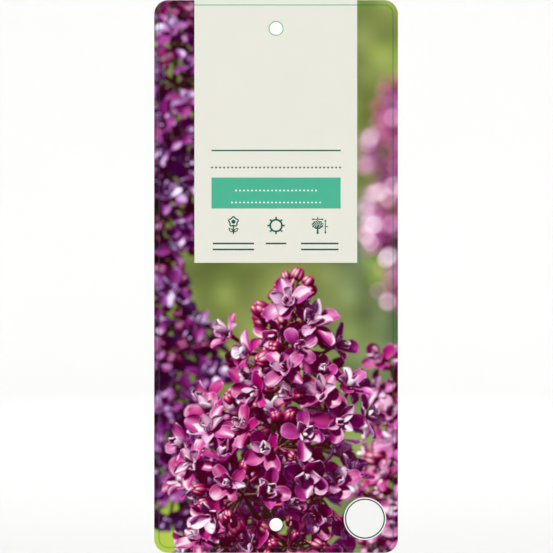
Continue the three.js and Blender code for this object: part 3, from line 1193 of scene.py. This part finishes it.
def make_panel(mats):
    panel = Flat(PRINT_Y)
    panel.fill(rectangle(PANEL[0], PANEL[1], PANEL[2], TOP - EDGE), circle(0, 0, HOLE + 0.02)[::-1])
    panel.make("text_panel", mats["panel"], "panel_print")
    band = Flat(BAND_Y)
    band.fill(rectangle(*BAND))
    band.make("colour_band", mats["band"], "band_print")

    line = Flat(INK_Y)
    w = LINE_WIDE / 2
    line.fill(rectangle(PANEL[0], PANEL[1], LINE[3] - w, LINE[3] + w))
    line.make("border_line", mats["line"], "line_ink")
    ring = Flat(INK_Y)
    ring.ring(0, 0, HOLE + 0.02, HOLE + 0.02 + RING_WIDE)
    ring.make("hole_ring", mats["ring"], "line_ink")

    rules = Flat(INK_Y)
    rules.fill(rectangle(-25, 25, -47.50, -46.98))
    dotted(rules, 33, -53.82)
    for cx, wide in ((-16.5, 16.0), (0.0, 8.0), (16.9, 14.5)):
        rules.fill(rectangle(cx - wide / 2, cx + wide / 2, -83.54, -82.92))
        if cx:
            rules.fill(rectangle(cx - wide / 2, cx + wide / 2, -85.86, -85.24))
    rules.make("write_in_rules", mats["dark"], "dark_ink")
    white = Flat(INK_Y)
    dotted(white, 21, -62.72)
    dotted(white, 23, -67.36)
    white.make("band_rules", mats["white"], "panel_print")


def lobed(cx, cz, r, depth, lobes, turn=0.0, n=120):
    a = np.linspace(0, 2 * np.pi, n, endpoint=False)
    rr = r + depth * np.cos(lobes * (a - turn))
    return np.stack([cx + rr * np.cos(a), cz + rr * np.sin(a)], 1)


def lens(x0, z0, x1, z1, fat, n=12):
    """A leaf outline from one point to another."""
    t = np.linspace(0, 1, n)
    d = np.array([x1 - x0, z1 - z0])
    s = np.array([-d[1], d[0]])
    up = np.array([x0, z0]) + d * t[:, None] + s * (fat * np.sin(np.pi * t**0.85))[:, None]
    down = np.array([x0, z0]) + d * t[::-1, None] - s * (fat * np.sin(np.pi * t[::-1] ** 0.85))[:, None]
    return np.concatenate([up, down[1:-1]])[::-1]


def make_pictograms(mats):
    w = 0.50
    # flowering time: one open flower on its stem
    o = Flat(INK_Y)
    cx, cz = -16.5, -74.80
    o.stroke(lobed(cx, cz, 1.68, 0.24, 5, math.pi / 2), w, closed=True)
    o.dot(cx, cz, 0.80, 24)
    o.stroke([(cx, cz - 1.66), (cx, cz - 4.55)], w)
    o.stroke(lens(cx - 0.22, cz - 3.85, cx - 1.70, cz - 2.65, 0.24), w * 0.75, closed=True)
    o.stroke(lens(cx + 0.22, cz - 3.85, cx + 1.70, cz - 2.65, 0.24), w * 0.75, closed=True)
    o.make("pictogram_flower", mats["dark"], "dark_ink")
    # place: sun
    o = Flat(INK_Y)
    cx, cz = 0.0, -76.3
    o.ring(cx, cz, 1.92, 2.60, 72)
    for k in range(8):
        a = math.radians(45 * k)
        o.stroke([(cx + r * math.cos(a), cz + r * math.sin(a)) for r in (2.80, 3.12)], 0.62)
    o.make("pictogram_sun", mats["dark"], "dark_ink")
    # height and width: a leafy shrub between two arrows
    o = Flat(INK_Y)
    cx, cz = 16.1, -76.0
    holes = []
    for k in range(26):
        a, d = 2.39996 * k + 1.5, 0.32 * math.sqrt(k + 0.45)
        if d > 1.48 + 0.15 * math.cos(9 * (a - math.pi / 2)):
            continue
        if abs(d * math.cos(a)) < 0.26 and d * math.sin(a) < -0.3:
            continue
        holes.append(circle(cx + 1.20 * d * math.cos(a), cz + 0.88 * d * math.sin(a), 0.205, 10)[::-1])
    crown = lobed(0, 0, 1.80, 0.15, 9, math.pi / 2)
    o.fill(crown * [1.20, 0.88] + [cx, cz], *holes)
    o.fill([(cx - 0.44, cz - 3.50), (cx + 0.44, cz - 3.50), (cx + 0.24, cz - 1.38), (cx - 0.24, cz - 1.38)])
    top = cz + 2.14
    o.stroke([(cx - 1.6, top), (cx + 1.6, top)], w * 0.70)
    o.fill(rectangle(cx - 0.17, cx + 0.17, top, top + 0.95))
    for s in (-1, 1):
        o.fill([(cx + s * 2.35, top), (cx + s * 1.62, top + 0.46), (cx + s * 1.62, top - 0.46)][:: s])
    side = cx + 2.95
    o.stroke([(side, cz - 2.75), (side, cz + 1.35)], w * 0.70)
    o.fill(rectangle(side, side + 1.05, cz - 0.87, cz - 0.53))
    for s, at in ((-1, cz - 3.50), (1, cz + 2.10)):
        o.fill([(side, at), (side - s * 0.46, at - s * 0.72), (side + s * 0.46, at - s * 0.72)])
    o.make("pictogram_size", mats["dark"], "dark_ink")


def make_dot(mats):
    """A blank round field for a price, at the lower right."""
    cx, cz, r = 34.4, -189.7, 8.2
    o = Flat(BAND_Y)
    o.dot(cx, cz, r, 96)
    o.make("price_field", mats["white"], "panel_print")
    o = Flat(INK_Y)
    o.ring(cx, cz, r - 0.95, r - 0.45, 96)
    o.make("price_field_ring", mats["dark"], "dark_ink")


# ---------------------------------------------------------------- build the object

mats = {
    "card": printed("white_plastic_sheet", srgb(240, 240, 236), spread=0.012, roughness=(0.42, 0.55), specular=0.35, bump=0.10, fine=1500.0),
    "panel": printed("pale_panel_print", srgb(232.9, 232.6, 221.2), spread=0.006, roughness=(0.38, 0.48), specular=0.12),
    "band": printed("green_band_print", srgb(78, 182, 149), spread=0.02, roughness=(0.38, 0.48), specular=0.10),
    "dark": printed("dark_green_ink", srgb(0, 96, 80) + 0.0005, spread=0.08, roughness=(0.40, 0.52), specular=0.08),
    "line": printed("light_green_ink", srgb(143, 203, 170), spread=0.03, roughness=(0.40, 0.50), specular=0.10),
    "ring": printed("mid_green_ink", srgb(122, 188, 147), spread=0.03, roughness=(0.40, 0.50), specular=0.10),
    "white": printed("white_ink", srgb(246, 246, 244), spread=0.008, roughness=(0.38, 0.48), specular=0.12),
}
card = place("card_stock", make_card(), mats["card"])
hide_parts("field", "top_left", "top_hole", "top_right", "bottom_left", "bottom_hole", "bottom_right")
make_picture()
make_panel(mats)
make_pictograms(mats)
make_dot(mats)

# ---------------------------------------------------------------- studio: floor, light, camera


def make_stage():
    """A pale seamless floor that curves up into a wall all round."""
    floor, reach, bend, height = -0.265, 2.2, 0.9, 3.4
    profile = [(0.0, floor), (0.6, floor), (1.4, floor), (reach, floor)]
    for a in np.linspace(0, 90, 19)[1:]:
        t = math.radians(a)
        profile.append((reach + bend * math.sin(t), floor + bend * (1 - math.cos(t))))
    profile.append((reach + bend, floor + height))
    n = 96
    verts = [(0.0, 0.0, floor)]
    for r, z in profile[1:]:
        for k in range(n):
            a = 2 * math.pi * k / n
            verts.append((r * math.cos(a), r * math.sin(a), z))
    faces = [(0, 1 + k, 1 + (k + 1) % n) for k in range(n)]
    for i in range(len(profile) - 2):
        a, b = 1 + i * n, 1 + (i + 1) * n
        for k in range(n):
            faces.append((a + k, b + k, b + (k + 1) % n, a + (k + 1) % n))
    me = bpy.data.meshes.new("studio_floor")
    me.from_pydata(verts, [], faces)
    me.polygons.foreach_set("use_smooth", [True] * len(me.polygons))
    mat = bpy.data.materials.new("studio_paper")
    mat.use_nodes = True
    nt = mat.node_tree
    bsdf = nt.nodes["Principled BSDF"]
    noise = node(nt, "ShaderNodeTexNoise")
    noise.inputs["Scale"].default_value = 3.0
    ramp = node(nt, "ShaderNodeValToRGB")
    ramp.color_ramp.elements[0].color = (0.600, 0.600, 0.597, 1)
    ramp.color_ramp.elements[1].color = (0.620, 0.620, 0.617, 1)
    where = node(nt, "ShaderNodeTexCoord")
    nt.links.new(where.outputs["Object"], noise.inputs["Vector"])
    nt.links.new(noise.outputs["Fac"], ramp.inputs["Fac"])
    nt.links.new(ramp.outputs["Color"], bsdf.inputs["Base Color"])
    bsdf.inputs["Roughness"].default_value = 1.0
    bsdf.inputs["Specular IOR Level"].default_value = 0.0
    me.materials.append(mat)
    o = bpy.data.objects.new("studio_floor", me)
    bpy.context.scene.collection.objects.link(o)


def area(name, spot, aim, size, power):
    lamp = bpy.data.lights.new(name, "AREA")
    lamp.shape = "RECTANGLE"
    lamp.size, lamp.size_y = size
    lamp.energy = power
    o = bpy.data.objects.new(name, lamp)
    bpy.context.scene.collection.objects.link(o)
    o.location = spot
    o.rotation_euler = (Vector(aim) - Vector(spot)).to_track_quat("-Z", "Y").to_euler()
    return o


make_stage()
world = bpy.data.worlds.new("studio")
bpy.context.scene.world = world
world.use_nodes = True
world.node_tree.nodes["Background"].inputs["Color"].default_value = (1.0, 1.0, 1.0, 1)
world.node_tree.nodes["Background"].inputs["Strength"].default_value = 0.42
area("soft_left", (-2.0, -1.7, 0.75), (0, 0, -0.1), (1.7, 1.7), 37)
area("soft_right", (2.0, -1.7, 0.75), (0, 0, -0.1), (1.7, 1.7), 33)
area("soft_back_left", (-1.5, 1.7, 1.5), (0, 0, -0.1), (1.4, 1.4), 4)
area("soft_back_right", (1.5, 1.7, 1.5), (0, 0, -0.1), (1.4, 1.4), 8)
area("soft_wall", (0.0, 0.9, 2.4), (0, 2.7, 0.1), (2.2, 0.8), 80)

scene = bpy.context.scene
scene.view_settings.view_transform = "Standard"
scene.view_settings.look = "None"
scene.view_settings.exposure = 0.0
scene.view_settings.gamma = 1.0
cam = bpy.data.cameras.new("camera")
cam.type = "PERSP"
cam.lens = 135.0
cam.sensor_width = 36.0
cam.clip_start, cam.clip_end = 0.01, 20.0
eye = bpy.data.objects.new("camera", cam)
scene.collection.objects.link(eye)
wide = 0.553 * 0.38698
eye.location = (0.00017, -(wide * 135.0 / 36.0) - 0.0002, (TOP - 0.5 * 553 * 0.38698) * 0.001)
eye.rotation_euler = (math.radians(90), 0, 0)
scene.camera = eye

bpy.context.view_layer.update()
print("script seconds", round(time.time() - began, 1))
